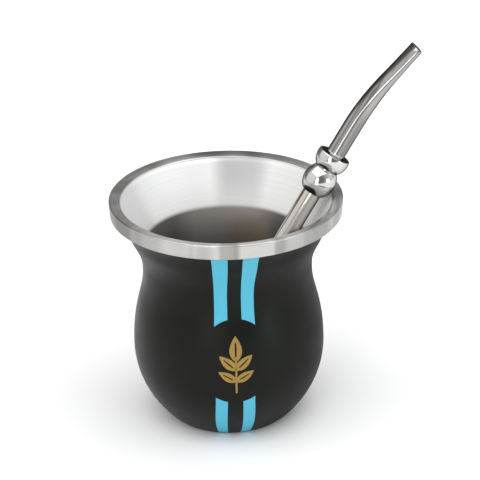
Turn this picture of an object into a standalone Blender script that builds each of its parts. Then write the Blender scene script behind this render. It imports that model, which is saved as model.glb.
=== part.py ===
# Steel mate cup with its metal straw.
# Units are metres, +Z is up and -Y is the front with the stripes.
# The origin is the centre of the cup's flat base.
import math

import bmesh
import bpy
from mathutils import Euler, Vector

MM = 0.001

# Cup, outside: radius, height, lean of the wall from upright in degrees, and how far the
# curve holds that lean above and below the point
CUP_HEIGHT = 86.9 * MM
MOUTH = (39.8 * MM, 80.9 * MM, 37.8, 0.0, 5.6 * MM)
FLARE = (34.8 * MM, 71.0 * MM, 28.1, 4.4 * MM, 7.0 * MM)
NECK = (31.46 * MM, 58.4 * MM, 0.0, 4.1 * MM, 9.0 * MM)
BELLY = (35.68 * MM, 28.8 * MM, 0.0, 16.4 * MM, 9.9 * MM)
BASE = (22.7 * MM, 0.0, 46.0, 12.7 * MM, 0.0)

# Steel band and lip round the mouth, and the way the lip's face looks, in degrees from outwards
BAND_RADIUS = 43.0 * MM
BAND_TAPER = 0.26 * MM
LIP_INNER_RADIUS = 38.79 * MM
LIP_DROP = 0.7 * MM
LIP_LEAN = 99.5
EDGE_ROUND = 0.45 * MM

# Cup, inside, in the same form as the outside
FUNNEL = (31.3 * MM, 72.5 * MM, 27.5, 4.5 * MM, 4.5 * MM)
THROAT = (27.7 * MM, 58.4 * MM, 0.0, 5.0 * MM, 9.0 * MM)
HOLLOW = (31.9 * MM, 28.8 * MM, 0.0, 16.4 * MM, 9.0 * MM)
FLOOR_RADIUS = 16.0 * MM
FLOOR_HEIGHT = 4.0 * MM
FLOOR_PULL = 11.0 * MM
LINER_WALL = 1.2 * MM

# Straw: it leans over the lip, and the ball of its collar rests on the lip's inner edge
BALL_CENTRE = Vector((34.5, 2.9, 91.3)) * MM
STRAW_LEAN = math.radians(31.3)
STRAW_TURN = math.radians(10.0)
TUBE_RADIUS = 3.5 * MM
TUBE_WALL = 0.5 * MM
BEND_START = 23.2 * MM
BEND_RADIUS = 107.5 * MM
BEND_ANGLE = math.radians(12.0)
MOUTHPIECE_LENGTH = 15.2 * MM
MOUTHPIECE_HALF_THICK = 2.05 * MM
MOUTHPIECE_HALF_WIDE = 4.35 * MM
MOUTHPIECE_SHARES = (0.35, 0.7, 1.0)

# Collar: a ball and a small open cup, spun as one thin shell
BALL_RADIUS = 6.2 * MM
BALL_HALF_LENGTH = 7.0 * MM
BALL_OPENING = 4.3 * MM
WAIST_RADIUS = 4.35 * MM
CUP_RADIUS = 6.3 * MM
COLLAR_TOP = 11.3 * MM
COLLAR_WALL = 0.5 * MM

# Strainer at the straw's lower end
STRAINER_RADIUS = 5.9 * MM
STRAINER_LENGTH = 28.0 * MM
STRAINER_NECK = 4.0 * MM
STRAINER_SHOULDER = 5.0 * MM
STRAINER_FULL = 4.0 * MM

GAP = 0.3 * MM
MERGE = 0.01 * MM
SHELL_SEGMENTS = 48
SMALL_SEGMENTS = 24
SPAN_STEPS = 6
FLARE_STEPS = 4
NECK_STEPS = 5
ARC_STEPS = 3
BALL_STEPS = 6
BEND_STEPS = 6

BLACK = (0.018, 0.019, 0.020, 1.0)
BRUSHED = (0.56, 0.55, 0.53, 1.0)
POLISHED = (0.66, 0.65, 0.64, 1.0)


def new_collection(name):
    collection = bpy.data.collections.new(name)
    bpy.context.scene.collection.children.link(collection)
    return collection


def new_material(name, color, metallic, roughness):
    material = bpy.data.materials.new(name)
    material.use_nodes = True
    shader = material.node_tree.nodes["Principled BSDF"]
    shader.inputs["Base Color"].default_value = color
    shader.inputs["Metallic"].default_value = metallic
    shader.inputs["Roughness"].default_value = roughness
    material.diffuse_color = color
    return material


def handle(station, length, direction):
    radius, height, lean = station[:3]
    angle = math.radians(lean)
    along = Vector((math.sin(angle), math.cos(angle)))
    return Vector((radius, height)) + direction * length * along


def span(upper, lower, steps=SPAN_STEPS):
    """Points of the wall from one station down to the next, the last one left out."""
    start = Vector(upper[:2])
    end = Vector(lower[:2])
    start_handle = handle(upper, upper[4], -1)
    end_handle = handle(lower, lower[3], 1)
    points = []
    for i in range(steps):
        t = i / steps
        point = (1 - t) ** 3 * start + 3 * (1 - t) ** 2 * t * start_handle
        points.append(point + 3 * (1 - t) * t * t * end_handle + t ** 3 * end)
    return points


def moved_out(points, amount):
    """A falling wall moved outwards, square to itself."""
    moved = []
    last = len(points) - 1
    for i, point in enumerate(points):
        run = (points[min(i + 1, last)] - points[max(i - 1, 0)]).normalized()
        moved.append(point + amount * Vector((-run.y, run.x)))
    return moved


def outside_wall():
    """The outside of the cup from the mouth down to the base."""
    points = span(MOUTH, FLARE, FLARE_STEPS) + span(FLARE, NECK, NECK_STEPS)
    return points + span(NECK, BELLY) + span(BELLY, BASE) + [Vector(BASE[:2])]


def inside_wall():
    """The inside of the cup from the lip down to the middle of the flat floor."""
    lip = Vector((LIP_INNER_RADIUS, CUP_HEIGHT - LIP_DROP))
    floor_edge = (FLOOR_RADIUS, FLOOR_HEIGHT, 90.0, FLOOR_PULL, 0.0)
    slope = lip - Vector(FUNNEL[:2])
    lean = math.degrees(math.atan2(slope.x, slope.y))
    pull = slope.length / 3
    top = (lip.x, lip.y, lean, 0.0, pull)
    points = span(top, FUNNEL, FLARE_STEPS) + span(FUNNEL, THROAT, NECK_STEPS)
    points += span(THROAT, HOLLOW) + span(HOLLOW, floor_edge)
    return points + [Vector(floor_edge[:2]), Vector((0.0, FLOOR_HEIGHT))]


def below(points, height):
    """The part of a falling wall under a height, starting with a point at that height."""
    kept = [point for point in points if point.y < height - GAP / 2]
    above = [point for point in points if point.y >= height - GAP / 2][-1]
    share = (above.y - height) / (above.y - kept[0].y)
    return [above.lerp(kept[0], share)] + kept


def arc(centre_x, centre_y, radius, start, end, steps, stretch=1.0):
    """Points round a circle between two angles in degrees, its height stretched to an oval."""
    points = []
    for i in range(steps + 1):
        angle = math.radians(start + (end - start) * i / steps)
        height = centre_y + stretch * radius * math.sin(angle)
        points.append(Vector((centre_x + radius * math.cos(angle), height)))
    return points


def turned(name, outline, closed, segments, material, collection):
    """A solid of revolution from an outline of radius and height."""
    mesh = bpy.data.meshes.new(name)
    edges = [(i, i + 1) for i in range(len(outline) - 1)]
    if closed:
        edges.append((len(outline) - 1, 0))
    mesh.from_pydata([(point.x, 0.0, point.y) for point in outline], edges, [])
    piece = bpy.data.objects.new(name, mesh)
    collection.objects.link(piece)
    screw = piece.modifiers.new("Turn", "SCREW")
    screw.angle = math.tau
    screw.steps = segments
    screw.render_steps = segments
    screw.use_merge_vertices = True
    screw.merge_threshold = MERGE
    screw.use_smooth_shade = True
    mesh.materials.append(material)
    return piece


def make_outer_body(material, collection):
    """The black outer wall, closed under the base and open at the top for the liner."""
    pocket = below(moved_out(inside_wall(), LINER_WALL + GAP), MOUTH[1])
    outline = pocket[::-1] + outside_wall() + [Vector((0.0, 0.0))]
    return turned("outer_body", outline, False, SHELL_SEGMENTS, material, collection)


def make_liner(material, collection):
    """The steel inside of the cup with the lip and the band that folds over the outer wall."""
    inside = inside_wall()
    band_foot = MOUTH[1] + GAP
    outside = below(moved_out(inside, LINER_WALL), band_foot)
    foot_radius = BAND_RADIUS - BAND_TAPER
    round_in = LIP_INNER_RADIUS + EDGE_ROUND
    outline = inside[:0:-1]
    outline += arc(round_in, CUP_HEIGHT - LIP_DROP - EDGE_ROUND, EDGE_ROUND, 180, LIP_LEAN, ARC_STEPS)
    outline += arc(BAND_RADIUS - EDGE_ROUND, CUP_HEIGHT - EDGE_ROUND, EDGE_ROUND, LIP_LEAN, 0, ARC_STEPS)
    outline += arc(foot_radius - EDGE_ROUND, band_foot + EDGE_ROUND, EDGE_ROUND, 0, -90, ARC_STEPS)
    outline += outside
    return turned("liner", outline, False, SHELL_SEGMENTS, material, collection)


def angle_at(width, radius):
    """The angle up a circle's outline at which it has narrowed to a width."""
    return math.degrees(math.acos(width / radius))


def make_collar(material, collection, axis):
    """The long ball and the open cup above it, on the straw."""
    stretch = BALL_HALF_LENGTH / BALL_RADIUS
    waist_height = stretch * math.sqrt(BALL_RADIUS ** 2 - WAIST_RADIUS ** 2)
    cup_centre = waist_height + math.sqrt(CUP_RADIUS ** 2 - WAIST_RADIUS ** 2)
    rim_angle = math.degrees(math.asin((COLLAR_TOP - cup_centre) / CUP_RADIUS))
    bore = WAIST_RADIUS - COLLAR_WALL
    ball_hollow = BALL_RADIUS - COLLAR_WALL
    cup_hollow = CUP_RADIUS - COLLAR_WALL
    outline = []
    for ball, cup, opening, waist in (
        (BALL_RADIUS, CUP_RADIUS, BALL_OPENING, WAIST_RADIUS),
        (ball_hollow, cup_hollow, BALL_OPENING - COLLAR_WALL, bore),
    ):
        bottom = -angle_at(opening, ball)
        wall = arc(0.0, 0.0, ball, bottom, angle_at(waist, ball), BALL_STEPS, stretch)
        wall += arc(0.0, cup_centre, cup, -angle_at(waist, cup), rim_angle, BALL_STEPS)[1:]
        outline = outline[::-1] + wall
    collar = turned("collar", outline, True, SMALL_SEGMENTS, material, collection)
    collar.parent = axis
    return collar


def strainer_end():
    """How far down the straw from the ball its lower end lies, just clear of the floor."""
    centre_height = FLOOR_HEIGHT + GAP + STRAINER_RADIUS
    return (BALL_CENTRE.z - centre_height) / math.cos(STRAW_LEAN) + STRAINER_RADIUS


def make_strainer(material, collection, axis):
    """A closed bulb with a straight neck, at the end of the straw."""
    end = -strainer_end()
    top = end + STRAINER_LENGTH
    widest = end + STRAINER_RADIUS
    neck = (TUBE_RADIUS, top - STRAINER_NECK, 0.0, 0.0, STRAINER_SHOULDER)
    bulb = (STRAINER_RADIUS, widest + STRAINER_FULL, 0.0, STRAINER_SHOULDER, 0.0)
    outline = [Vector((0.0, top)), Vector((TUBE_RADIUS, top))]
    outline += span(neck, bulb)
    outline += [Vector(bulb[:2])]
    outline += arc(0.0, widest, STRAINER_RADIUS, 0, -90, BALL_STEPS)
    outline[-1].x = 0.0
    strainer = turned("strainer", outline, False, SMALL_SEGMENTS, material, collection)
    strainer.parent = axis
    return strainer


def tube_centreline():
    """Stations up the straw as position, direction of the section and share of flattening."""
    bottom = -strainer_end() + STRAINER_LENGTH + GAP
    stations = [(Vector((0.0, 0.0, height)), 0.0) for height in (bottom, bottom / 2, 0.0, BEND_START)]
    centre = Vector((BEND_RADIUS, 0.0, BEND_START))
    for i in range(1, BEND_STEPS + 1):
        angle = BEND_ANGLE * i / BEND_STEPS
        stations.append((centre + BEND_RADIUS * Vector((-math.cos(angle), 0.0, math.sin(angle))), angle))
    heading = Vector((math.sin(BEND_ANGLE), 0.0, math.cos(BEND_ANGLE)))
    bend_end = stations[-1][0]
    for share in MOUTHPIECE_SHARES:
        stations.append((bend_end + MOUTHPIECE_LENGTH * share * heading, BEND_ANGLE))
    return stations


def make_tube(material, collection, axis):
    """The hollow straw, round below and pressed to an oval mouthpiece above its bend."""
    stations = tube_centreline()
    oval_length = BEND_RADIUS * BEND_ANGLE + MOUTHPIECE_LENGTH
    travelled = 0.0
    mesh = bmesh.new()
    rings = {"outer": [], "inner": []}
    for i, (centre, angle) in enumerate(stations):
        if centre.z > BEND_START:
            travelled += (centre - stations[i - 1][0]).length
        share = min(travelled / oval_length, 1.0)
        blend = share * share * (3 - 2 * share)
        thick = TUBE_RADIUS + (MOUTHPIECE_HALF_THICK - TUBE_RADIUS) * blend
        wide = TUBE_RADIUS + (MOUTHPIECE_HALF_WIDE - TUBE_RADIUS) * blend
        across = Vector((math.cos(angle), 0.0, -math.sin(angle)))
        side = Vector((0.0, 1.0, 0.0))
        for wall, inset in (("outer", 0.0), ("inner", TUBE_WALL)):
            ring = []
            for k in range(SMALL_SEGMENTS):
                turn = math.tau * k / SMALL_SEGMENTS
                offset = across * (thick - inset) * math.cos(turn) + side * (wide - inset) * math.sin(turn)
                ring.append(mesh.verts.new(centre + offset))
            rings[wall].append(ring)
    strips = []
    for i in range(len(stations) - 1):
        strips.append((rings["outer"][i], rings["outer"][i + 1]))
        strips.append((rings["inner"][i + 1], rings["inner"][i]))
    strips.append((rings["inner"][0], rings["outer"][0]))
    strips.append((rings["outer"][-1], rings["inner"][-1]))
    for low, high in strips:
        for k in range(SMALL_SEGMENTS):
            after = (k + 1) % SMALL_SEGMENTS
            face = mesh.faces.new((low[k], low[after], high[after], high[k]))
            face.smooth = True
    data = bpy.data.meshes.new("straw_tube")
    mesh.to_mesh(data)
    mesh.free()
    data.materials.append(material)
    tube = bpy.data.objects.new("straw_tube", data)
    collection.objects.link(tube)
    tube.parent = axis
    return tube


def main():
    for item in list(bpy.data.objects):
        bpy.data.objects.remove(item, do_unlink=True)
    collection = new_collection("mate_cup_with_straw")
    black = new_material("black_coat", BLACK, 0.0, 0.42)
    brushed = new_material("brushed_steel", BRUSHED, 1.0, 0.32)
    polished = new_material("polished_steel", POLISHED, 1.0, 0.1)
    make_outer_body(black, collection)
    make_liner(brushed, collection)
    axis = bpy.data.objects.new("straw_axis", None)
    axis.location = BALL_CENTRE
    axis.rotation_euler = Euler((0.0, STRAW_LEAN, STRAW_TURN), "XYZ")
    collection.objects.link(axis)
    make_tube(polished, collection, axis)
    make_collar(polished, collection, axis)
    make_strainer(polished, collection, axis)


main()
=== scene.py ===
# %% [markdown]
# # A steel mate cup with its straw
#
# The frame comes first. It holds the imported solids of the cup and its straw, in metres, with
# +Z up and the striped side towards -Y. Every piece made below sits exactly where its solid is.
# A helper reads the box round a solid, which gives the height of the rim.

import math

import bpy
from mathutils import Matrix, Vector


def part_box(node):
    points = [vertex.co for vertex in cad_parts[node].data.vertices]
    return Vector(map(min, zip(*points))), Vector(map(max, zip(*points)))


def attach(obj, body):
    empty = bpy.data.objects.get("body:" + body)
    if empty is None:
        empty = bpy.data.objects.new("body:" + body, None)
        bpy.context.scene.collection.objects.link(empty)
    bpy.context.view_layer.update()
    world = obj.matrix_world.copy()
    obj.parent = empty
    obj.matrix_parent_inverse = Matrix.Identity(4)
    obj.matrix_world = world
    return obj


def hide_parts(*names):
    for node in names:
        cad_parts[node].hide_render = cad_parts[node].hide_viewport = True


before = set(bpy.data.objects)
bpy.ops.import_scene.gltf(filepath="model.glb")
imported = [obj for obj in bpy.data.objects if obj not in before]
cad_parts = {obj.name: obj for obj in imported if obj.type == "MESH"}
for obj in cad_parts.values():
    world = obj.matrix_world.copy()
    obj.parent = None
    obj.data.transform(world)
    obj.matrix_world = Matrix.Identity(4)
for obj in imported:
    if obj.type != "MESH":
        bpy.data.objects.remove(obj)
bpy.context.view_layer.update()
MM = 0.001
print("solids:", sorted(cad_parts))

# %% [markdown]
# ## Helpers for turned walls
#
# A spun cup is the same outline all the way round. A maker could draw the outline and turn it
# with a Screw modifier. Here each wall is raised as a metal spinner would do it: a circle is
# added, then pulled out ring by ring with extrude and resize, so every ring can be placed by its
# radius and height. Operators act on all that is selected, so everything is deselected first.

# %% Selecting
def clear_selection():
    if bpy.context.mode != "OBJECT":
        bpy.ops.object.mode_set(mode="OBJECT")
    bpy.ops.object.select_all(action="DESELECT")


def pick(piece):
    clear_selection()
    piece.select_set(True)
    bpy.context.view_layer.objects.active = piece


def select_only(piece, kind, test):
    """Goes into edit mode with only the corners or faces selected whose place passes a test."""
    pick(piece)
    bpy.ops.object.mode_set(mode="EDIT")
    bpy.ops.mesh.select_mode(type=kind)
    bpy.ops.mesh.select_all(action="DESELECT")
    bpy.ops.object.mode_set(mode="OBJECT")
    if kind == "VERT":
        for corner in piece.data.vertices:
            corner.select = test(corner.co)
    else:
        for face in piece.data.polygons:
            face.select = test(face.center)
    bpy.ops.object.mode_set(mode="EDIT")


# %% Raising a wall from a circle
CLOSE = 0.005 * MM
CRISP_ANGLE = math.radians(50)


def raise_wall(name, outline, sides):
    """Extrudes a circle ring by ring along an outline of radius and height."""
    clear_selection()
    radius, height = outline[0]
    bpy.ops.mesh.primitive_circle_add(vertices=sides, radius=radius, location=(0, 0, height))
    wall = bpy.context.object
    wall.name = wall.data.name = name
    bpy.ops.object.transform_apply(location=True, rotation=False, scale=False)
    bpy.ops.object.mode_set(mode="EDIT")
    bpy.ops.mesh.select_all(action="SELECT")
    for before, after in zip(outline, outline[1:]):
        rise = (0, 0, after[1] - before[1])
        bpy.ops.mesh.extrude_edges_move(TRANSFORM_OT_translate={"value": rise})
        grow = after[0] / before[0]
        bpy.ops.transform.resize(value=(grow, grow, 1.0), center_override=(0, 0, after[1]))
    bpy.ops.object.mode_set(mode="OBJECT")
    print(name, "has", len(outline), "rings of", sides, "corners")
    return wall


def close_pole(wall, height):
    """Fills the smallest ring at a height and pokes it into a fan of triangles."""
    def is_level(place):
        return abs(place.z - height) < CLOSE

    smallest = min(corner.co.xy.length for corner in wall.data.vertices if is_level(corner.co))
    edge = smallest + CLOSE
    select_only(wall, "VERT", lambda place: is_level(place) and place.xy.length < edge)
    bpy.ops.mesh.edge_face_add()
    bpy.ops.mesh.poke()
    bpy.ops.object.mode_set(mode="OBJECT")


def face_outwards(piece):
    """Merges doubles, turns every face outwards and smooths all but the crisp edges."""
    pick(piece)
    bpy.ops.object.mode_set(mode="EDIT")
    bpy.ops.mesh.select_all(action="SELECT")
    bpy.ops.mesh.remove_doubles(threshold=CLOSE)
    bpy.ops.mesh.normals_make_consistent(inside=False)
    bpy.ops.object.mode_set(mode="OBJECT")
    bpy.ops.object.shade_smooth_by_angle(angle=CRISP_ANGLE)


def apply_modifier(piece, kind, **settings):
    pick(piece)
    modifier = piece.modifiers.new(kind.title(), kind)
    for setting, value in settings.items():
        setattr(modifier, setting, value)
    bpy.ops.object.modifier_apply(modifier=modifier.name)


# %% [markdown]
# ## The outline of the cup
#
# The cup has a wide mouth, a narrow neck and a round belly. The wall is drawn with the same few
# stations as the solid: a radius, a height, how far the wall leans out there, and how long it
# keeps that lean above and below. Smooth curves join the stations.

# %% Curves between stations
def station_handle(station, length, direction):
    radius, height, lean = station[:3]
    along = Vector((math.sin(math.radians(lean)), math.cos(math.radians(lean))))
    return Vector((radius, height)) + direction * length * along


def span(upper, lower, steps):
    """Points of the wall from one station down to the next, the last one left out."""
    start, end = Vector(upper[:2]), Vector(lower[:2])
    leave, arrive = station_handle(upper, upper[4], -1), station_handle(lower, lower[3], 1)
    points = []
    for i in range(steps):
        t = i / steps
        point = (1 - t) ** 3 * start + 3 * (1 - t) ** 2 * t * leave
        points.append(point + 3 * (1 - t) * t * t * arrive + t ** 3 * end)
    return points


def arc(centre, radius, start, end, steps, stretch=1.0):
    """Points round a circle between two angles in degrees, its height stretched to an oval."""
    points = []
    for i in range(steps + 1):
        angle = math.radians(start + (end - start) * i / steps)
        out = radius * math.cos(angle)
        up = stretch * radius * math.sin(angle)
        points.append(Vector((centre[0] + out, centre[1] + up)))
    return points


def moved_out(points, amount):
    """A falling wall moved outwards, square to itself."""
    moved = []
    last = len(points) - 1
    for i, point in enumerate(points):
        run = (points[min(i + 1, last)] - points[max(i - 1, 0)]).normalized()
        moved.append(point + amount * Vector((-run.y, run.x)))
    return moved


# %% Stations of the outside wall
# Each station: its radius, height and lean in degrees, and how long the lean lasts above and below.
MOUTH = (39.8 * MM, 80.9 * MM, 37.8, 0.0, 5.6 * MM)
FLARE = (34.8 * MM, 71.0 * MM, 28.1, 4.4 * MM, 7.0 * MM)
NECK = (31.46 * MM, 58.4 * MM, 0.0, 4.1 * MM, 9.0 * MM)
BELLY = (35.68 * MM, 28.8 * MM, 0.0, 16.4 * MM, 9.9 * MM)
BASE = (22.7 * MM, 0.0, 46.0, 12.7 * MM, 0.0)
WALL_STEPS = 14

outside = span(MOUTH, FLARE, WALL_STEPS) + span(FLARE, NECK, WALL_STEPS)
outside += span(NECK, BELLY, WALL_STEPS) + span(BELLY, BASE, WALL_STEPS)
print("the outside wall has", len(outside), "points")

# %% [markdown]
# ## The coated outer wall
#
# On the real cup the outer wall is a spun steel shell under a black powder coat. It tucks under
# the steel band and ends in a flat base with a tight edge. The wall is raised down the outline,
# turned in under the base through a small rounding and closed at its middle. A Solidify modifier
# then gives it the thickness of the sheet, inwards.

# %% Raise the coated wall
CUP_SIDES = 144
COAT_SHEET = 0.8 * MM
BASE_ROUND = 0.5 * MM
BASE_STEPS = 4
TUCK = 1.6 * MM
MOUTH_CHAMFER = 0.2 * MM
# Rings on the flat underside, as shares of its radius.
BASE_RINGS = (0.75, 0.4, 0.12)

base_centre = (BASE[0] - BASE_ROUND, BASE_ROUND)
base_turn = arc(base_centre, BASE_ROUND, BASE[2] - 90, -90, BASE_STEPS)
underside = [Vector((BASE[0] * share, 0.0)) for share in BASE_RINGS]
mouth_tuck = [Vector((MOUTH[0] - inwards, MOUTH[1])) for inwards in (TUCK, MOUTH_CHAMFER)]
coat_outline = mouth_tuck + outside[1:] + base_turn + underside
cup_coat = raise_wall("cup_coat", coat_outline, CUP_SIDES)
close_pole(cup_coat, 0.0)
face_outwards(cup_coat)
apply_modifier(cup_coat, "SOLIDIFY", thickness=COAT_SHEET, offset=-1)
bpy.ops.object.shade_smooth_by_angle(angle=CRISP_ANGLE)
print("coated wall:", len(cup_coat.data.polygons), "faces")

# %% [markdown]
# ## The steel inside, lip and band
#
# One sheet of steel makes all the bare metal of the cup: the floor, the inner wall, the funnel of
# the mouth, the sloping lip and the band that folds down over the coated wall. It is raised as
# one closed wall. It starts under the floor, climbs the hidden side to the foot of the band, goes
# round the band and the lip, and falls down the funnel to the floor again.

# %% Stations of the inside wall
CUP_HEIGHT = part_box("liner")[1][2]
BAND_RADIUS = 43.0 * MM
BAND_TAPER = 0.26 * MM
LIP_INNER_RADIUS = 38.79 * MM
LIP_DROP = 0.7 * MM
LIP_LEAN = 99.5
EDGE_ROUND = 0.45 * MM
EDGE_STEPS = 5
FUNNEL = (31.3 * MM, 72.5 * MM, 27.5, 4.5 * MM, 4.5 * MM)
THROAT = (27.7 * MM, 58.4 * MM, 0.0, 5.0 * MM, 9.0 * MM)
HOLLOW = (31.9 * MM, 28.8 * MM, 0.0, 16.4 * MM, 9.0 * MM)
FLOOR_EDGE = (16.0 * MM, 4.0 * MM, 90.0, 11.0 * MM, 0.0)
# Rings on the floor, as shares of its radius.
FLOOR_RINGS = (1.0, 0.6, 0.25, 0.05)
LINER_WALL = 1.2 * MM
GAP = 0.3 * MM
# How far the sheet steps out from the hidden wall before it turns round the band's foot.
FOOT_STEP = 0.3 * MM

lip_inner = Vector((LIP_INNER_RADIUS, CUP_HEIGHT - LIP_DROP))
slope = lip_inner - Vector(FUNNEL[:2])
slope_lean = math.degrees(math.atan2(slope.x, slope.y))
funnel_top = (lip_inner.x, lip_inner.y, slope_lean, 0.0, slope.length / 3)
inside = span(funnel_top, FUNNEL, WALL_STEPS) + span(FUNNEL, THROAT, WALL_STEPS)
inside += span(THROAT, HOLLOW, WALL_STEPS) + span(HOLLOW, FLOOR_EDGE, WALL_STEPS)
inside += [Vector((FLOOR_EDGE[0] * share, FLOOR_EDGE[1])) for share in FLOOR_RINGS]
print("the lip's inner edge is", round(lip_inner.x / MM, 2), "mm from the axis")

# %% Raise the steel
band_foot = MOUTH[1] + GAP
hidden = [point for point in moved_out(inside, LINER_WALL) if point.y < band_foot]
foot_radius = BAND_RADIUS - BAND_TAPER
foot_round = (foot_radius - EDGE_ROUND, band_foot + EDGE_ROUND)
top_round = (BAND_RADIUS - EDGE_ROUND, CUP_HEIGHT - EDGE_ROUND)
lip_round = (LIP_INNER_RADIUS + EDGE_ROUND, CUP_HEIGHT - LIP_DROP - EDGE_ROUND)
steel_outline = hidden[::-1] + [Vector((hidden[0].x + FOOT_STEP, band_foot))]
steel_outline += arc(foot_round, EDGE_ROUND, -90, 0, EDGE_STEPS)
steel_outline += arc(top_round, EDGE_ROUND, 0, LIP_LEAN, EDGE_STEPS + 1)
steel_outline += arc(lip_round, EDGE_ROUND, LIP_LEAN, 180, EDGE_STEPS) + inside[1:]
cup_steel = raise_wall("cup_steel", steel_outline, CUP_SIDES)
close_pole(cup_steel, FLOOR_EDGE[1] - LINER_WALL)
close_pole(cup_steel, FLOOR_EDGE[1])
face_outwards(cup_steel)
print("steel:", len(cup_steel.data.polygons), "faces")

# %% [markdown]
# ## The straw
#
# The straw is a drawn steel tube. Above its collar it is pressed slowly to a flat oval for the
# lips, and bent a little outwards. It is made the same way: a straight tube is raised first, its
# upper rings are squeezed to the oval, and then it is bent by turning all that lies above each
# ring a little further. It stands upright until it is finished, and is then leaned over the lip.

# %% Lay out the straw
BALL_CENTRE = Vector((34.5, 2.9, 91.3)) * MM
STRAW_LEAN = math.radians(31.3)
STRAW_TURN = math.radians(10.0)
TUBE_RADIUS = 3.5 * MM
TUBE_WALL = 0.5 * MM
BEND_START = 23.2 * MM
BEND_RADIUS = 107.5 * MM
BEND_ANGLE = math.radians(12.0)
MOUTHPIECE_LENGTH = 15.2 * MM
MOUTHPIECE_HALF_THICK = 2.05 * MM
MOUTHPIECE_HALF_WIDE = 4.35 * MM
TIP_ROUND = 0.16 * MM
TIP_STEPS = 3
TIP_ANGLE = math.radians(60)
STRAINER_RADIUS = 5.9 * MM
STRAINER_LENGTH = 28.0 * MM

bulb_height = FLOOR_EDGE[1] + GAP + STRAINER_RADIUS
straw_foot = -(BALL_CENTRE.z - bulb_height) / math.cos(STRAW_LEAN) - STRAINER_RADIUS
tube_foot = straw_foot + STRAINER_LENGTH + GAP
bend_length = BEND_RADIUS * BEND_ANGLE
tube_top = BEND_START + bend_length + MOUTHPIECE_LENGTH
print("tube from", round(tube_foot / MM, 1), "to", round(tube_top / MM, 1), "mm along the straw")


def add_wall(piece, thickness):
    """Thickens an open shell inwards, with its inner faces in a second material slot."""
    piece.data.materials.append(None)
    piece.data.materials.append(None)
    apply_modifier(piece, "SOLIDIFY", thickness=thickness, offset=-1, material_offset=1)
    apply_modifier(
        piece, "BEVEL", width=TIP_ROUND, segments=TIP_STEPS, limit_method="ANGLE", angle_limit=TIP_ANGLE
    )
    bpy.ops.object.shade_smooth_by_angle(angle=CRISP_ANGLE)


def lean_into_place(piece):
    """Leans a finished piece of the straw over the lip and puts its place into its mesh."""
    piece.rotation_euler = (0.0, STRAW_LEAN, STRAW_TURN)
    piece.location = BALL_CENTRE
    pick(piece)
    bpy.ops.object.transform_apply(location=True, rotation=True, scale=True)


# %% Raise and press the tube
STRAW_SIDES = 64
TUBE_RINGS = 12
BEND_RINGS = 24
TIP_RINGS = 10

tube_heights = [tube_foot + (BEND_START - tube_foot) * i / TUBE_RINGS for i in range(TUBE_RINGS)]
tube_heights += [BEND_START + bend_length * i / BEND_RINGS for i in range(BEND_RINGS)]
tube_heights += [tube_top - MOUTHPIECE_LENGTH * (1 - i / TIP_RINGS) for i in range(TIP_RINGS + 1)]
straight = [Vector((TUBE_RADIUS, height)) for height in tube_heights]
straw = raise_wall("straw", straight, STRAW_SIDES)
for height in tube_heights:
    share = max(0.0, height - BEND_START) / (tube_top - BEND_START)
    if share == 0.0:
        continue
    # The press starts and ends gently.
    blend = share * share * (3 - 2 * share)
    thick = 1 + (MOUTHPIECE_HALF_THICK / TUBE_RADIUS - 1) * blend
    wide = 1 + (MOUTHPIECE_HALF_WIDE / TUBE_RADIUS - 1) * blend
    select_only(straw, "VERT", lambda place: abs(place.z - height) < CLOSE)
    bpy.ops.transform.resize(value=(thick, wide, 1.0), center_override=(0, 0, height))
bpy.ops.object.mode_set(mode="OBJECT")
print("pressed tube:", [round(side / MM, 1) for side in straw.dimensions], "mm")

# %% Bend it and give it its wall
bend_heights = [BEND_START + bend_length * (i + 0.5) / BEND_RINGS for i in range(BEND_RINGS)]
for height in reversed(bend_heights):
    select_only(straw, "VERT", lambda place: place.z > height)
    bpy.ops.transform.rotate(
        value=-BEND_ANGLE / BEND_RINGS,
        orient_axis="Y",
        orient_type="GLOBAL",
        center_override=(0, 0, height),
    )
bpy.ops.object.mode_set(mode="OBJECT")
reach = max(corner.co.x for corner in straw.data.vertices)
print("the bent tip reaches", round(reach / MM, 1), "mm out of the tube's line")
face_outwards(straw)
add_wall(straw, TUBE_WALL)
lean_into_place(straw)

# %% [markdown]
# ## The collar
#
# The collar is one thin spun shell on the tube: a ball that opens downwards, a tight waist, and a
# small cup that opens upwards. It keeps the straw from sliding into the cup, because the ball
# rests on the lip. It is raised from the ball's opening to the cup's rim, and Solidify gives it
# its sheet, so that its inside shows round the tube at both ends.

# %% Raise the collar
BALL_RADIUS = 6.2 * MM
BALL_HALF_LENGTH = 7.0 * MM
BALL_OPENING = 4.3 * MM
WAIST_RADIUS = 4.35 * MM
CUP_RADIUS = 6.3 * MM
COLLAR_TOP = 11.3 * MM
COLLAR_WALL = 0.5 * MM
COLLAR_STEPS = 20

stretch = BALL_HALF_LENGTH / BALL_RADIUS
opening_angle = -math.degrees(math.acos(BALL_OPENING / BALL_RADIUS))
ball_waist = math.degrees(math.acos(WAIST_RADIUS / BALL_RADIUS))
cup_waist = -math.degrees(math.acos(WAIST_RADIUS / CUP_RADIUS))
waist_height = stretch * BALL_RADIUS * math.sin(math.radians(ball_waist))
cup_centre = waist_height - CUP_RADIUS * math.sin(math.radians(cup_waist))
rim_angle = math.degrees(math.asin((COLLAR_TOP - cup_centre) / CUP_RADIUS))
collar_outline = arc((0.0, 0.0), BALL_RADIUS, opening_angle, ball_waist, COLLAR_STEPS, stretch)
collar_outline += arc((0.0, cup_centre), CUP_RADIUS, cup_waist, rim_angle, COLLAR_STEPS)[1:]
straw_collar = raise_wall("straw_collar", collar_outline, STRAW_SIDES)
face_outwards(straw_collar)
add_wall(straw_collar, COLLAR_WALL)
lean_into_place(straw_collar)
print("collar:", len(straw_collar.data.polygons), "faces")

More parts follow.
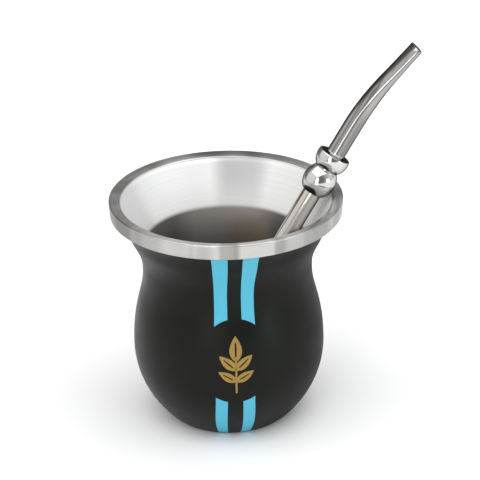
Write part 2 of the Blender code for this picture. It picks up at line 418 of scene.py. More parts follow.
# %% [markdown]
# ## The strainer
#
# Deep in the cup the straw ends in a hollow bulb with small holes, which keep the leaves out.
# Here the holes are shallow pits. A bulb is raised, and rows of its faces are inset and pushed
# inwards. A Subdivision Surface then rounds the square pits.

# %% Raise the bulb
STRAINER_NECK = 4.0 * MM
STRAINER_SHOULDER = 5.0 * MM
STRAINER_FULL = 4.0 * MM
BULB_SIDES = 32
BULB_STEPS = 8
BULB_END = -84
NECK_RINGS = (0.3, 0.93, 1.0)

bulb_top = straw_foot + STRAINER_LENGTH
bulb_wide = straw_foot + STRAINER_RADIUS
neck = (TUBE_RADIUS, bulb_top - STRAINER_NECK, 0.0, 0.0, STRAINER_SHOULDER)
bulb = (STRAINER_RADIUS, bulb_wide + STRAINER_FULL, 0.0, STRAINER_SHOULDER, 0.0)
strainer_outline = [Vector((TUBE_RADIUS * share, bulb_top)) for share in NECK_RINGS]
strainer_outline += span(neck, bulb, BULB_STEPS)
strainer_outline += [Vector(bulb[:2])]
strainer_outline += arc((0.0, bulb_wide), STRAINER_RADIUS, 0, BULB_END, BULB_STEPS)
straw_strainer = raise_wall("straw_strainer", strainer_outline, BULB_SIDES)
close_pole(straw_strainer, strainer_outline[0].y)
close_pole(straw_strainer, strainer_outline[-1].y)
face_outwards(straw_strainer)

# %% Press the holes
HOLE_INSET = 0.22 * MM
HOLE_DEPTH = 0.6 * MM
HOLE_TOP = bulb_wide + 12.0 * MM
HOLE_BOTTOM = bulb_wide - 3.5 * MM
RING_STEP = 0.05 * MM


def ring_height(place):
    """A height in whole steps, so that all faces of one ring give the same number."""
    return round(place.z / RING_STEP)


middles = [face.center.copy() for face in straw_strainer.data.polygons]
rings = sorted({ring_height(place) for place in middles})


def is_hole(place):
    """Every second ring has holes in every second face, and each row is moved on by one."""
    row = rings.index(ring_height(place))
    column = math.floor(math.atan2(place.y, place.x) / math.tau * BULB_SIDES)
    staggered = row % 2 == 0 and (column + row // 2) % 2 == 0
    return HOLE_BOTTOM < place.z < HOLE_TOP and staggered


holes = sum(is_hole(place) for place in middles)
select_only(straw_strainer, "FACE", is_hole)
bpy.ops.mesh.inset(thickness=HOLE_INSET, use_individual=True)
bpy.ops.mesh.extrude_faces_move(TRANSFORM_OT_shrink_fatten={"value": -HOLE_DEPTH})
bpy.ops.object.mode_set(mode="OBJECT")
apply_modifier(straw_strainer, "SUBSURF", levels=1, render_levels=1)
bpy.ops.object.shade_smooth()
lean_into_place(straw_strainer)
print("strainer has", holes, "holes")

# %% [markdown]
# ## Helpers for finishes
#
# A finish is a small tree of nodes in front of the Principled BSDF. The helpers below add one
# node each, or a few that belong together, so that a finish reads from top to bottom like a
# recipe. All patterns start from Object coordinates, which are the metres of the frame, because
# each piece sits at the origin.

# %% Node helpers
def new_finish(name, metallic, roughness):
    finish = bpy.data.materials.new(name)
    finish.use_nodes = True
    shader = finish.node_tree.nodes["Principled BSDF"]
    shader.inputs["Metallic"].default_value = metallic
    shader.inputs["Roughness"].default_value = roughness
    return finish, finish.node_tree, shader


def feed(tree, socket, value):
    """Links a socket to another node's output, or sets it to a plain value."""
    if isinstance(value, bpy.types.NodeSocket):
        tree.links.new(value, socket)
    else:
        socket.default_value = value


def calc(tree, operation, first, second=0.0):
    node = tree.nodes.new("ShaderNodeMath")
    node.operation = operation
    feed(tree, node.inputs[0], first)
    feed(tree, node.inputs[1], second)
    return node.outputs[0]


def ramp(tree, value, low, high, at_low=0.0, at_high=1.0):
    """Turns one range of values smoothly into another."""
    node = tree.nodes.new("ShaderNodeMapRange")
    node.interpolation_type = "SMOOTHSTEP"
    feed(tree, node.inputs["Value"], value)
    ends = (("From Min", low), ("From Max", high), ("To Min", at_low), ("To Max", at_high))
    for socket, number in ends:
        feed(tree, node.inputs[socket], number)
    return node.outputs["Result"]


def blend_colors(tree, share, first, second):
    node = tree.nodes.new("ShaderNodeMix")
    node.data_type = "RGBA"
    feed(tree, node.inputs["Factor"], share)
    feed(tree, node.inputs["A"], first)
    feed(tree, node.inputs["B"], second)
    return node.outputs["Result"]


def measure(tree, operation, first, second=(0.0, 0.0, 0.0)):
    """One number from a vector, or from two."""
    node = tree.nodes.new("ShaderNodeVectorMath")
    node.operation = operation
    feed(tree, node.inputs[0], first)
    feed(tree, node.inputs[1], second)
    return node.outputs["Value"]


# %% Pattern helpers
NOISE_SPAN = (0.3, 0.7)


def noise(tree, vector, scale, detail):
    """Soft random clouds. Most of their values lie within NOISE_SPAN."""
    node = tree.nodes.new("ShaderNodeTexNoise")
    node.inputs["Scale"].default_value = scale
    node.inputs["Detail"].default_value = detail
    feed(tree, node.inputs["Vector"], vector)
    return node.outputs["Fac"]


def bump(tree, shader, height, depth, strength):
    node = tree.nodes.new("ShaderNodeBump")
    node.inputs["Distance"].default_value = depth
    node.inputs["Strength"].default_value = strength
    feed(tree, node.inputs["Height"], height)
    tree.links.new(node.outputs["Normal"], shader.inputs["Normal"])


def place_of(tree):
    """The Object coordinates, whole and as x, y and z."""
    place = tree.nodes.new("ShaderNodeTexCoord").outputs["Object"]
    parts = tree.nodes.new("ShaderNodeSeparateXYZ")
    tree.links.new(place, parts.inputs[0])
    return place, parts.outputs["X"], parts.outputs["Y"], parts.outputs["Z"]


def together(tree, x, y, z):
    node = tree.nodes.new("ShaderNodeCombineXYZ")
    for socket, value in zip(node.inputs, (x, y, z)):
        feed(tree, socket, value)
    return node.outputs[0]


def turn_round(tree, side, front):
    """The angle round an axis in degrees, which is zero straight to the front."""
    return calc(tree, "MULTIPLY", calc(tree, "ARCTAN2", side, front), math.degrees(1))


def turn_of_cup(tree, x, y):
    """The angle round the cup, zero at its front and growing to the right."""
    return turn_round(tree, x, calc(tree, "MULTIPLY", y, -1.0))


def marks(tree, turn, table):
    """Soft marks round an axis, each with its middle, half width, soft edge and strength."""
    total = 0.0
    for middle, half, soft, strength in table:
        away = calc(tree, "ABSOLUTE", calc(tree, "SUBTRACT", turn, middle))
        total = calc(tree, "ADD", ramp(tree, away, half, half + soft, strength, 0.0), total)
    return total


def toward(tree, flat, middle, core, edge):
    """A share that is full on one side of the cup and fades to the edge of that area.

    It compares directions instead of angles, so that it also works across the back.
    """
    way = (math.sin(math.radians(middle)), -math.cos(math.radians(middle)), 0.0)
    level = measure(tree, "DOT_PRODUCT", flat, way)
    facing = calc(tree, "DIVIDE", level, measure(tree, "LENGTH", flat))
    return ramp(tree, facing, math.cos(math.radians(edge)), math.cos(math.radians(core)))


# %% [markdown]
# ## The black coat and its stripes
#
# The coat is a satin powder coat: nearly black, with a soft sheen and a very fine orange peel.
# On its right side it is a little duller. Two light blue stripes are printed down the front.
# They leave an oval field of plain black between them. The stripes could be cut into the mesh,
# but on the real cup they have no edge that a finger would feel, so they are painted: the angle
# round the cup picks the two bands, and an oval in angle and height keeps the field clear.

# %% Coat finish
COAT_BLACK = (0.0036, 0.0042, 0.0037, 1.0)
STRIPE_BLUE = (0.091, 0.445, 0.60, 1.0)
# Degrees round the cup: the middle between the stripes, and from there their two edges.
STRIPE_CENTRE = 4.2
STRIPE_INNER = 4.6
STRIPE_OUTER = 13.15
# The print was not quite even. Each zone: the heights where its change starts and is full, and
# by how many degrees it turns the stripes, and moves their inner and their outer edges out.
STRIPE_ZONES = (
    ("neck", 60.0 * MM, 76.0 * MM, 0.4, -0.5, -0.25),
    ("lower", 46.0 * MM, 22.0 * MM, -0.6, 0.0, -1.35),
    ("foot", 24.0 * MM, 2.0 * MM, 0.0, 1.2, 2.7),
)
STRIPE_SOFT = 0.12
FIELD_CENTRE = 36.1 * MM
FIELD_HALF_HEIGHT = 16.5 * MM
FIELD_HALF_ANGLE = 23.4
FIELD_SOFT = 0.006
BASE_EDGE = 0.25 * MM

coat_finish, tree, shader = new_finish("black_coat", metallic=0.0, roughness=0.4)
place, x, y, z = place_of(tree)
turn = turn_of_cup(tree, x, y)
centre, inner, outer = STRIPE_CENTRE, STRIPE_INNER, STRIPE_OUTER
for zone, start, full, turned, inner_out, outer_out in STRIPE_ZONES:
    share = ramp(tree, z, start, full)
    share.node.name = zone
    centre = calc(tree, "ADD", calc(tree, "MULTIPLY", share, turned), centre)
    inner = calc(tree, "ADD", calc(tree, "MULTIPLY", share, inner_out), inner)
    outer = calc(tree, "ADD", calc(tree, "MULTIPLY", share, outer_out), outer)
aside = calc(tree, "ABSOLUTE", calc(tree, "SUBTRACT", turn, centre))
inner_edge = ramp(tree, calc(tree, "SUBTRACT", aside, inner), -STRIPE_SOFT, STRIPE_SOFT)
outer_edge = ramp(tree, calc(tree, "SUBTRACT", aside, outer), -STRIPE_SOFT, STRIPE_SOFT, 1.0, 0.0)
across = calc(tree, "POWER", calc(tree, "DIVIDE", aside, FIELD_HALF_ANGLE), 2.0)
rise = calc(tree, "ABSOLUTE", calc(tree, "SUBTRACT", z, FIELD_CENTRE))
upright = calc(tree, "POWER", calc(tree, "DIVIDE", rise, FIELD_HALF_HEIGHT), 2.0)
field = calc(tree, "SQRT", calc(tree, "ADD", across, upright))
outside_field = ramp(tree, field, 1 - FIELD_SOFT, 1 + FIELD_SOFT)
above_base = ramp(tree, z, BASE_EDGE, 2 * BASE_EDGE)
stripe = calc(tree, "MULTIPLY", inner_edge, outer_edge)
stripe = calc(tree, "MULTIPLY", calc(tree, "MULTIPLY", stripe, outside_field), above_base)
feed(tree, shader.inputs["Base Color"], blend_colors(tree, stripe, COAT_BLACK, STRIPE_BLUE))
stripe_width = math.radians(STRIPE_OUTER - STRIPE_INNER) * BELLY[0]
print("stripes are", round(stripe_width / MM, 1), "mm wide at the belly")

# %% Sheen and peel of the coat
COAT_SHEEN = (0.98, 1.0, 0.90, 1.0)
COAT_GLOSS = 0.16
COAT_ROUGHNESS = (0.36, 0.42)
CLOUD_SCALE = 90.0
# The duller side: its middle round the cup, where it is full and where it ends, in degrees.
DULL_AREA = (80.0, 35.0, 60.0)
DULL_ROUGHER = 0.17
PEEL_SCALE = 1900.0
PEEL_DEPTH = 0.02 * MM
PEEL_STRENGTH = 0.35
PRINT_RISE = 0.6

cloud = noise(tree, place, CLOUD_SCALE, detail=2.0)
satin = ramp(tree, cloud, *NOISE_SPAN, *COAT_ROUGHNESS)
dull_side = toward(tree, together(tree, x, y, 0.0), *DULL_AREA)
rougher = calc(tree, "MULTIPLY", dull_side, DULL_ROUGHER)
feed(tree, shader.inputs["Roughness"], calc(tree, "ADD", satin, rougher))
shader.inputs["Specular IOR Level"].default_value = COAT_GLOSS
shader.inputs["Specular Tint"].default_value = COAT_SHEEN
peel = noise(tree, place, PEEL_SCALE, detail=3.0)
relief = calc(tree, "ADD", peel, calc(tree, "MULTIPLY", stripe, PRINT_RISE))
bump(tree, shader, relief, PEEL_DEPTH, PEEL_STRENGTH)
print("coat finish has", len(tree.nodes), "nodes")

# %% [markdown]
# ## Brushed steel
#
# The band, the lip and the funnel were brushed while the cup turned, so the brush lines run round
# it. Noise that is stretched round the cup makes them: it changes slowly with x and y, and fast
# with the height plus the distance from the axis. On the band the brush left soft patches, and a
# few lighter and darker blocks are painted highlights and reflections. The funnel is finer and
# more satin, with painted light at the back left and painted shade almost straight at the back.
# Below the funnel the inside is rougher, and darker from painted shade, but less so at the back,
# where it has one painted warm brown reflection.

# %% Colours of the brushed steel
BAND_STEEL = (0.56, 0.555, 0.54, 1.0)
BAND_DARK = (0.26, 0.255, 0.245, 1.0)
BAND_FROM = 38.6 * MM
BAND_TO = 39.2 * MM
PATCH_SCALE = 75.0
PATCH_SHARE = 0.4
PATCH_SPAN = (0.38, 0.60)
# Painted highlights and reflections on the band. Each block: its angle in degrees, its half width,
# its soft edge and how much brighter it is.
PAINTED_BAND_REFLECTIONS = (
    (-151.0, 5.0, 12.0, 0.6),
    (-61.0, 5.0, 6.0, -0.4),
    (-30.0, 11.0, 7.0, 0.52),
    (-9.5, 5.0, 2.5, 0.6),
    (14.5, 7.0, 3.0, 1.0),
    (34.5, 4.0, 3.0, 0.3),
    (72.0, 8.0, 8.0, 0.6),
    (128.0, 14.0, 8.0, 0.6),
)
FUNNEL_STEEL = (0.81, 0.81, 0.805, 1.0)
# Painted light on the funnel at the back left, and painted shade almost straight at the back.
FUNNEL_PAINTED_LIGHT = (0.97, 0.97, 0.965, 1.0)
FUNNEL_SHADE = (0.52, 0.52, 0.52, 1.0)
# Painted shade darkens the inside below the funnel, most at the sides and least at the back.
INSIDE_PAINTED_SHADE = (0.30, 0.285, 0.265, 1.0)
SIDE_PAINTED_SHADE = (0.135, 0.128, 0.120, 1.0)
# Each area round the cup: its middle, where it is full and where it ends, in degrees.
PAINTED_LIGHT_AREA = (-150.0, 22.0, 42.0)
SHADE_AREA = (171.0, 0.0, 20.0)
BACK_AREA = (180.0, 14.0, 45.0)
SHADE_LOW = 68.0 * MM
SHADE_HIGH = 82.0 * MM
SHADE_LEAST = 0.5
# Heights of the rougher inside, which is also darkened by painted shade.
RAW_AND_SHADED_TOP = 70.4 * MM
RAW_AND_SHADED_FULL = 68.6 * MM
# A painted warm brown reflection on the inside at the back.
PAINTED_WARM_REFLECTION = (0.30, 0.245, 0.190, 1.0)
WARM_CENTRE = (8.7 * MM, 26.6 * MM, 58.0 * MM)
WARM_CORE = 5.0 * MM
WARM_EDGE = 11.0 * MM

brushed_finish, tree, shader = new_finish("brushed_steel", metallic=1.0, roughness=0.3)
place, x, y, z = place_of(tree)
flat = together(tree, x, y, 0.0)
radius = measure(tree, "LENGTH", flat)
on_band = ramp(tree, radius, BAND_FROM, BAND_TO)
# The inside below the funnel: rougher, and darkened by painted shade.
raw_and_shaded = ramp(tree, z, RAW_AND_SHADED_FULL, RAW_AND_SHADED_TOP, 1.0, 0.0)
patches = ramp(tree, noise(tree, flat, PATCH_SCALE, detail=1.0), *PATCH_SPAN)
# Painted highlights and reflections on the band, placed by the angle round the cup.
blocks = marks(tree, turn_of_cup(tree, x, y), PAINTED_BAND_REFLECTIONS)
bright = calc(tree, "ADD", blocks, calc(tree, "MULTIPLY", patches, PATCH_SHARE))
band_steel = blend_colors(tree, bright, BAND_DARK, BAND_STEEL)
# Painted light at the back left of the funnel, then painted shade near the back, weaker lower down.
funnel_steel = blend_colors(tree, toward(tree, flat, *PAINTED_LIGHT_AREA), FUNNEL_STEEL, FUNNEL_PAINTED_LIGHT)
shade_by_height = ramp(tree, z, SHADE_LOW, SHADE_HIGH, SHADE_LEAST, 1.0)
shaded = calc(tree, "MULTIPLY", toward(tree, flat, *SHADE_AREA), shade_by_height)
funnel_steel = blend_colors(tree, shaded, funnel_steel, FUNNEL_SHADE)
# Painted shade on the inside, lighter towards the back.
inside_painted_shade = blend_colors(tree, toward(tree, flat, *BACK_AREA), SIDE_PAINTED_SHADE, INSIDE_PAINTED_SHADE)
# The painted warm brown reflection, a soft spot round its centre.
from_warm = measure(tree, "DISTANCE", place, WARM_CENTRE)
warm = ramp(tree, from_warm, WARM_CORE, WARM_EDGE, 1.0, 0.0)
inside_painted_shade = blend_colors(tree, warm, inside_painted_shade, PAINTED_WARM_REFLECTION)
steel = blend_colors(tree, on_band, funnel_steel, band_steel)
steel = blend_colors(tree, raw_and_shaded, steel, inside_painted_shade)
print("the band has", len(PAINTED_BAND_REFLECTIONS), "blocks")

# %% Brush lines
BLACK = (0.0, 0.0, 0.0, 1.0)
BRUSH_FINE = 5200.0
BRUSH_SLOW = 26.0
BRUSH_DEPTH = 0.012 * MM
BRUSH_STRENGTH = 0.18
BRUSH_STRETCH = 0.5
BRUSHED_TINT = (0.70, 0.70, 0.70, 1.0)
BRUSHED_ROUGHNESS = (0.26, 0.34)
LINE_SHADE = 0.92
FUNNEL_METAL = 0.45
FUNNEL_ROUGHER = 0.14
RAW_ROUGHER = 0.1

brushed_place = together(
    tree,
    calc(tree, "MULTIPLY", x, BRUSH_SLOW),
    calc(tree, "MULTIPLY", y, BRUSH_SLOW),
    calc(tree, "MULTIPLY", calc(tree, "ADD", z, radius), BRUSH_FINE),
)
lines = noise(tree, brushed_place, scale=1.0, detail=3.0)
shade = ramp(tree, lines, *NOISE_SPAN, LINE_SHADE, 1.0)
feed(tree, shader.inputs["Base Color"], blend_colors(tree, shade, BLACK, steel))
shine = ramp(tree, lines, *NOISE_SPAN, *BRUSHED_ROUGHNESS)
satin = calc(tree, "MULTIPLY", calc(tree, "SUBTRACT", 1.0, on_band), FUNNEL_ROUGHER)
dull = calc(tree, "ADD", satin, calc(tree, "MULTIPLY", raw_and_shaded, RAW_ROUGHER))
feed(tree, shader.inputs["Roughness"], calc(tree, "ADD", shine, dull))
metal = calc(tree, "ADD", FUNNEL_METAL, calc(tree, "MULTIPLY", on_band, 1 - FUNNEL_METAL))
feed(tree, shader.inputs["Metallic"], metal)
shader.inputs["Specular Tint"].default_value = BRUSHED_TINT
shader.inputs["Anisotropic"].default_value = BRUSH_STRETCH
round_axis = tree.nodes.new("ShaderNodeTangent")
round_axis.direction_type = "RADIAL"
round_axis.axis = "Z"
tree.links.new(round_axis.outputs[0], shader.inputs["Tangent"])
bump(tree, shader, lines, BRUSH_DEPTH, BRUSH_STRENGTH)
print("brushed finish has", len(tree.nodes), "nodes")

# %% [markdown]
# ## Polished steel
#
# Above its collar the tube is polished like a spoon. A perfect mirror would look like a computer
# model, so the roughness wanders a little, and faint streaks run along the tube, left by the
# drawing die. A few soft dark lines of painted reflection run along it too, and its foot has a
# painted highlight where it meets the collar. Below the collar the tube is only drawn: satin and
# warmer, with a few dark lines of painted reflection. Two Mapping nodes turn the pattern into the
# straw's own direction and stretch it. The collar is brighter than the tube above it. Its inside
# has painted light on one side and painted shade on the rest, and the bore of the tube is dull and
# darkened by painted shade.

# %% Coordinates along the straw
def straw_place(tree, across, along):
    """Coordinates in the leaned straw's own direction, stretched along it."""
    turned = tree.nodes.new("ShaderNodeMapping")
    turned.vector_type = "TEXTURE"
    turned.inputs["Location"].default_value = BALL_CENTRE
    turned.inputs["Rotation"].default_value = (0.0, STRAW_LEAN, STRAW_TURN)
    tree.links.new(place_of(tree)[0], turned.inputs["Vector"])
    stretched = tree.nodes.new("ShaderNodeMapping")
    stretched.inputs["Scale"].default_value = (across, across, along)
    tree.links.new(turned.outputs[0], stretched.inputs["Vector"])
    return stretched.outputs[0]


def straw_turn_and_height(tree):
    """The angle round the straw in degrees, and the height along it from the ball's middle."""
    parts = tree.nodes.new("ShaderNodeSeparateXYZ")
    tree.links.new(straw_place(tree, 1.0, 1.0), parts.inputs[0])
    return turn_round(tree, parts.outputs["Y"], parts.outputs["X"]), parts.outputs["Z"]


# %% Polished finish
POLISHED_LIGHT = (0.40, 0.39, 0.38, 1.0)
POLISHED_DARK = (0.19, 0.187, 0.183, 1.0)
POLISHED_ROUGHNESS = (0.07, 0.14)
POLISHED_SPAN = (0.36, 0.58)
EDGE_TINT = (0.10, 0.09, 0.08, 1.0)
SMUDGE_SCALE = 160.0
STREAKS_ACROSS = 620.0
STREAKS_ALONG = 9.0
SATIN_STEEL = (0.62, 0.59, 0.55, 1.0)
SATIN_LINE = (0.50, 0.475, 0.44, 1.0)
SATIN_SPAN = (0.34, 0.46)
SATIN_ROUGHER = 0.08
SATIN_FROM = -6.0 * MM
# Dark lines of painted reflection along the drawn tube. Each: its angle in degrees, half width, soft
# edge and strength.
PAINTED_SATIN_REFLECTIONS = ((-166.0, 3.0, 4.0, 0.72), (-128.0, 1.5, 4.0, 0.35), (-36.0, 9.0, 7.0, 0.75))
PAINTED_REFLECTION_BROWN = (0.02, 0.016, 0.014, 1.0)
# Painted reflections along the polished tube. Each: its angle in degrees, half width, soft edge and
# strength.
PAINTED_TUBE_REFLECTIONS = ((-80.0, 6.0, 8.0, 0.42), (-35.0, 22.0, 14.0, 0.34))
PAINTED_REFLECTION_BLUE = (0.020, 0.030, 0.040, 1.0)
# A painted highlight on the tube's foot, just above the collar's rim.
PAINTED_FOOT_HIGHLIGHT = (0.90, 0.90, 0.90, 1.0)
FOOT_RISE = 0.35 * MM

polished_finish, tree, shader = new_finish("polished_steel", metallic=1.0, roughness=0.08)
turn, height = straw_turn_and_height(tree)
drawn_place = straw_place(tree, STREAKS_ACROSS, STREAKS_ALONG)
streaks = noise(tree, drawn_place, scale=1.0, detail=2.0)
shade = blend_colors(tree, ramp(tree, streaks, *POLISHED_SPAN), POLISHED_DARK, POLISHED_LIGHT)
below_bend = ramp(tree, height, BEND_START, BEND_START + bend_length / 2, 1.0, 0.0)
# Painted reflections: soft dark lines along the tube below its bend.
tube_reflection_share = calc(tree, "MULTIPLY", marks(tree, turn, PAINTED_TUBE_REFLECTIONS), below_bend)
shade = blend_colors(tree, tube_reflection_share, shade, PAINTED_REFLECTION_BLUE)
# Painted highlight: the tube is light just above the collar's rim.
foot = ramp(tree, height, COLLAR_TOP + FOOT_RISE, COLLAR_TOP + 3 * FOOT_RISE, 1.0, 0.0)
shade = blend_colors(tree, foot, shade, PAINTED_FOOT_HIGHLIGHT)
drawn = blend_colors(tree, ramp(tree, streaks, *SATIN_SPAN), SATIN_LINE, SATIN_STEEL)
# Painted reflections: dark brown lines along the drawn tube.
drawn = blend_colors(tree, marks(tree, turn, PAINTED_SATIN_REFLECTIONS), drawn, PAINTED_REFLECTION_BROWN)
satin = ramp(tree, height, SATIN_FROM, 0.0, 1.0, 0.0)
feed(tree, shader.inputs["Base Color"], blend_colors(tree, satin, shade, drawn))
smudge = noise(tree, place_of(tree)[0], SMUDGE_SCALE, detail=2.0)
polish = ramp(tree, smudge, *NOISE_SPAN, *POLISHED_ROUGHNESS)
rougher = calc(tree, "MULTIPLY", satin, SATIN_ROUGHER)
feed(tree, shader.inputs["Roughness"], calc(tree, "ADD", polish, rougher))
shader.inputs["Specular Tint"].default_value = EDGE_TINT
print("polished finish has", len(tree.nodes), "nodes")

# %% Collar, dish and bore
COLLAR_STEEL = (0.64, 0.64, 0.63, 1.0)
COLLAR_ROUGHNESS = (0.05, 0.11)
# Painted shade for the bore of the tube and for the dark side of the dish.
BORE_PAINTED_SHADE = (0.11, 0.10, 0.09, 1.0)
DISH_PAINTED_LIGHT = (0.93, 0.93, 0.93, 1.0)
# The side of the dish with painted light: its angle in degrees, half width, soft edge and strength.
DISH_PAINTED_LIGHT_SIDE = ((-95.0, 45.0, 25.0, 1.0),)

collar_finish, tree, shader = new_finish("collar_steel", metallic=1.0, roughness=0.07)
smudge = noise(tree, place_of(tree)[0], SMUDGE_SCALE, detail=2.0)
shader.inputs["Base Color"].default_value = COLLAR_STEEL
feed(tree, shader.inputs["Roughness"], ramp(tree, smudge, *NOISE_SPAN, *COLLAR_ROUGHNESS))
shader.inputs["Specular Tint"].default_value = EDGE_TINT

dish_finish, tree, shader = new_finish("dish_painted_light_and_shade", metallic=0.25, roughness=0.35)
# Painted light on one side of the dish's inside, painted shade on the rest.
lit = marks(tree, straw_turn_and_height(tree)[0], DISH_PAINTED_LIGHT_SIDE)
feed(tree, shader.inputs["Base Color"], blend_colors(tree, lit, BORE_PAINTED_SHADE, DISH_PAINTED_LIGHT))

bore_finish, tree, shader = new_finish("bore_painted_shade_steel", metallic=1.0, roughness=0.45)
shader.inputs["Base Color"].default_value = BORE_PAINTED_SHADE
print("finishes:", [finish.name for finish in (collar_finish, dish_finish, bore_finish)])

# %% [markdown]
# ## The gold sprig
#
# The plain oval field between the stripes carries a small gold print: a sprig of mate leaves. A
# print is a film of ink, so it could be painted like the stripes, but leaves are easier to shape
# as mesh. One leaf is a grid whose rows are drawn in to a point at both ends. It is copied for
# each leaf, and the flat sprig is then pressed onto the coat with a Shrinkwrap modifier.

# %% One leaf
LEAF_COLUMNS = 7
LEAF_ROWS = 16
# Two exponents: the first sets how near its foot the leaf is widest, the second how full it is.
LEAF_WIDEST = 0.8
LEAF_FULLNESS = 0.85
# The share of its width that a leaf keeps at its two points.
LEAF_POINT = 0.01
VEIN_HALF = 0.01
VEIN_FROM = 0.16
VEIN_TO = 0.74

clear_selection()
bpy.ops.mesh.primitive_grid_add(
    x_subdivisions=LEAF_COLUMNS,
    y_subdivisions=LEAF_ROWS,
    size=1.0,
    location=(0, 0.5, 0),
    rotation=(0, 0, 0),
)
leaf = bpy.context.object
bpy.ops.object.transform_apply(location=True, rotation=False, scale=False)
for row in range(LEAF_ROWS + 1):
    share = row / LEAF_ROWS
    width = max(LEAF_POINT, math.sin(math.pi * share ** LEAF_WIDEST) ** LEAF_FULLNESS)
    select_only(leaf, "VERT", lambda place: round(place.y * LEAF_ROWS) == row)
    bpy.ops.transform.resize(value=(width, 1.0, 1.0), center_override=(0, share, 0))
select_only(leaf, "FACE", lambda place: abs(place.x) < VEIN_HALF and VEIN_FROM < place.y < VEIN_TO)
bpy.ops.mesh.delete(type="FACE")
bpy.ops.object.mode_set(mode="OBJECT")
print("one leaf:", len(leaf.data.polygons), "faces")

# %% The sprig
SPRIG_FRONT = -45.0 * MM
SPRIG_HEIGHT = 35.0 * MM
PRINT_LIFT = 0.03 * MM
PRINT_THICK = 0.05 * MM
STEM_WIDTH = 0.7 * MM
STEM_FROM = -11.0 * MM
STEM_TO = 3.0 * MM
# Each leaf's foot above the middle of the sprig, its turn in degrees, its length and its width.
LEAVES = (
    (1.8 * MM, 0.0, 9.6 * MM, 4.6 * MM),
    (-1.6 * MM, 47.0, 8.2 * MM, 3.7 * MM),
    (-1.6 * MM, -47.0, 8.2 * MM, 3.7 * MM),
    (-6.2 * MM, 58.0, 7.6 * MM, 3.4 * MM),
    (-6.2 * MM, -58.0, 7.6 * MM, 3.4 * MM),
)

sprig_pieces = []
for foot, turn_by, leaf_length, leaf_width in LEAVES:
    pick(leaf)
    bpy.ops.object.duplicate(linked=False)
    copy = bpy.context.object
    copy.scale = (leaf_width, leaf_length, 1.0)
    bpy.ops.object.transform_apply(location=False, rotation=False, scale=True)
    copy.rotation_euler = (math.radians(90), math.radians(turn_by), 0.0)
    copy.location = (0.0, SPRIG_FRONT, SPRIG_HEIGHT + foot)
    sprig_pieces.append(copy)
clear_selection()
stem_height = SPRIG_HEIGHT + (STEM_FROM + STEM_TO) / 2
bpy.ops.mesh.primitive_grid_add(
    x_subdivisions=1,
    y_subdivisions=LEAF_ROWS,
    size=1.0,
    location=(0, SPRIG_FRONT, stem_height),
    rotation=(math.radians(90), 0, 0),
)
stem = bpy.context.object
stem.scale = (STEM_WIDTH, STEM_TO - STEM_FROM, 1.0)
sprig_pieces.append(stem)
clear_selection()
for piece in sprig_pieces:
    piece.select_set(True)
bpy.context.view_layer.objects.active = stem
bpy.ops.object.join()
gold_sprig = bpy.context.object
gold_sprig.name = gold_sprig.data.name = "gold_sprig"
bpy.ops.object.transform_apply(location=True, rotation=True, scale=True)
bpy.data.objects.remove(leaf)
gold_sprig.rotation_euler = (0.0, 0.0, math.radians(STRIPE_CENTRE))
apply_modifier(
    gold_sprig,
    "SHRINKWRAP",
    target=cup_coat,
    wrap_method="PROJECT",
    use_project_y=True,
    use_positive_direction=True,
    use_negative_direction=False,
    wrap_mode="ABOVE_SURFACE",
    offset=PRINT_LIFT,
)
apply_modifier(gold_sprig, "SOLIDIFY", thickness=PRINT_THICK, offset=1)
bpy.ops.object.transform_apply(location=True, rotation=True, scale=True)
print("sprig:", [round(side / MM, 1) for side in gold_sprig.dimensions], "mm")

# %% Gold print finish
PRINT_GOLD = (0.36, 0.22, 0.040, 1.0)
GOLD_SHADE = 0.72
GRAIN_SCALE = 2400.0
GRAIN_SPAN = (0.35, 0.65)

gold_finish, tree, shader = new_finish("gold_print", metallic=0.25, roughness=0.42)
grain = ramp(tree, noise(tree, place_of(tree)[0], GRAIN_SCALE, detail=2.0), *GRAIN_SPAN)
darker = tuple(GOLD_SHADE * part for part in PRINT_GOLD[:3]) + (1.0,)
feed(tree, shader.inputs["Base Color"], blend_colors(tree, grain, darker, PRINT_GOLD))
print("gold print has", len(tree.nodes), "nodes")

# %% [markdown]
# ## Dressing the pieces
#
# Each piece gets its finishes, in the order of its material slots, and is then tied to the body
# that it rides on. The solid that it stands for is hidden. The gold print stands for no solid,
# because it is only a film of ink.

# %% Dress the pieces
def dress(piece, finishes, slot, *nodes):
    """Gives a piece its finishes and its body, and hides its solids. The slot is not used."""
    while len(piece.data.materials) < len(finishes):
        piece.data.materials.append(None)
    for i, finish in enumerate(finishes):
        piece.data.materials[i] = finish
    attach(piece, "root")
    if nodes:
        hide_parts(*nodes)
    print(piece.name, "wears", [finish.name for finish in finishes])


dress(cup_coat, (coat_finish,), "black_coat", "outer_body")
dress(gold_sprig, (gold_finish,), "black_coat")
dress(cup_steel, (brushed_finish,), "brushed_steel", "liner")
dress(straw, (polished_finish, bore_finish), "polished_steel", "straw_tube")
dress(straw_collar, (collar_finish, dish_finish), "polished_steel", "collar")
dress(straw_strainer, (polished_finish,), "polished_steel", "strainer")

# %% [markdown]
# ## Stage, light and camera
#
# The cup stands on a plain pale floor in a soft white studio. Metal shows only what it reflects,
# so the room is what draws it: bright at the front left, at the right and low behind the cup,
# dimmer in front, high behind and at both back corners. A large lamp hangs above, a tall one
# stands at the front left and a small cool one low at the right. The camera has the photograph's
# long lens and looks down on the rim.

# %% Floor
FLOOR_SIZE = 6.0
FLOOR_WHITE = (0.92, 0.92, 0.92, 1.0)
FLOOR_GLOSS = 0.1

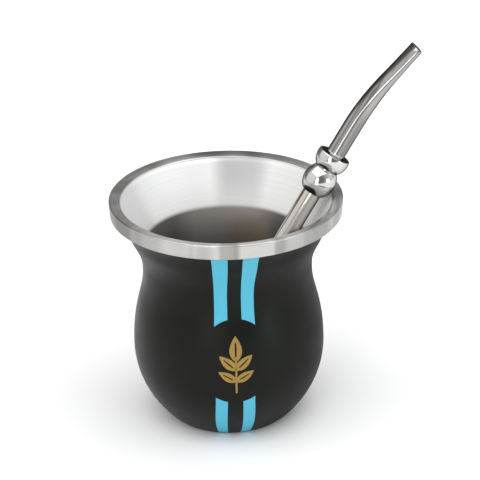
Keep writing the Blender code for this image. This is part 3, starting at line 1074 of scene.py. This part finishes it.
clear_selection()
bpy.ops.mesh.primitive_plane_add(size=FLOOR_SIZE, location=(0, 0, 0))
studio_floor = bpy.context.object
studio_floor.name = "studio_floor"
floor_finish, tree, shader = new_finish("floor_paper", metallic=0.0, roughness=0.9)
shader.inputs["Base Color"].default_value = FLOOR_WHITE
shader.inputs["Specular IOR Level"].default_value = FLOOR_GLOSS
studio_floor.data.materials.append(floor_finish)

# %% Room
ROOM_LEVEL = 0.57
# Each patch of the room: its name, the way to it, the cosines where it starts and is full, and
# how much it adds.
ROOM_PATCHES = (
    ("right_side", (0.84, 0.44, 0.30), 0.80, 0.95, -0.22),
    ("left_side", (-0.66, 0.72, 0.20), 0.86, 0.96, -0.32),
    ("left_front", (-0.86, -0.24, 0.44), 0.74, 0.92, 0.40),
    ("front_dark", (0.04, -0.96, 0.28), 0.80, 0.96, -0.36),
    ("back_above", (0.0, 0.72, 0.69), 0.70, 0.93, -0.22),
    ("back_low", (0.0, 0.99, 0.10), 0.93, 0.985, 0.75),
    ("right_front", (0.93, -0.03, 0.35), 0.80, 0.95, 0.28),
)

world = bpy.data.worlds.new("studio")
world.use_nodes = True
tree = world.node_tree
bpy.context.scene.world = world
direction = tree.nodes.new("ShaderNodeTexCoord").outputs["Generated"]
level = ROOM_LEVEL
for name, centre, edge, core, amount in ROOM_PATCHES:
    facing = measure(tree, "DOT_PRODUCT", direction, Vector(centre).normalized())
    facing.node.name = name
    patch = ramp(tree, facing, edge, core)
    level = calc(tree, "ADD", calc(tree, "MULTIPLY", patch, amount), level)
background = tree.nodes["Background"]
background.inputs["Color"].default_value = (1.0, 1.0, 1.0, 1.0)
feed(tree, background.inputs["Strength"], level)
print("room:", len(ROOM_PATCHES), "patches")

# %% Lamps
LAMP_WHITE = (1.0, 1.0, 1.0)
LAMP_COOL = (0.80, 0.92, 1.0)
# Each lamp: its name, place and size, its power in watts, the point that it faces and its colour.
SOFT_BOXES = (
    ("top_box", (0.05, -0.10, 1.2), (2.2, 1.8), 20.0, (0.0, 0.0, 0.05), LAMP_WHITE),
    ("left_window", (-0.40, -1.10, 0.36), (0.34, 0.75), 3.0, (0.04, 0.0, 0.1), LAMP_WHITE),
    ("right_window", (0.88, -0.66, 0.13), (0.3, 0.35), 2.2, (0.0, 0.0, 0.06), LAMP_COOL),
)


def soft_box(name, place, size, power, aim, color):
    data = bpy.data.lights.new(name, "AREA")
    data.shape = "RECTANGLE"
    data.size, data.size_y = size
    data.energy = power
    data.color = color
    lamp = bpy.data.objects.new(name, data)
    bpy.context.scene.collection.objects.link(lamp)
    lamp.location = place
    lamp.rotation_euler = (Vector(aim) - Vector(place)).to_track_quat("-Z", "Y").to_euler()
    lamp.visible_camera = False


for lamp_values in SOFT_BOXES:
    soft_box(*lamp_values)
print("lamps:", [name for name, *rest in SOFT_BOXES])

# %% Camera
CAMERA_PLACE = Vector((4.89, -785.05, 438.4)) * MM
CAMERA_PITCH = math.radians(90 - 25.2)
CAMERA_ROLL = math.radians(-1.12)
CAMERA_LENS = 175.95
SENSOR_WIDTH = 36.0

camera_data = bpy.data.cameras.new("camera")
camera_data.lens = CAMERA_LENS
camera_data.sensor_width = SENSOR_WIDTH
camera = bpy.data.objects.new("camera", camera_data)
bpy.context.scene.collection.objects.link(camera)
camera.location = CAMERA_PLACE
pitch = Matrix.Rotation(CAMERA_PITCH, 3, "X")
roll = Matrix.Rotation(CAMERA_ROLL, 3, "Z")
camera.rotation_euler = (pitch @ roll).to_euler()
bpy.context.scene.camera = camera
bpy.context.scene.view_settings.view_transform = "Standard"
print("camera is", round((CAMERA_PLACE - Vector((0, 0, CUP_HEIGHT))).length, 3), "m from the rim")
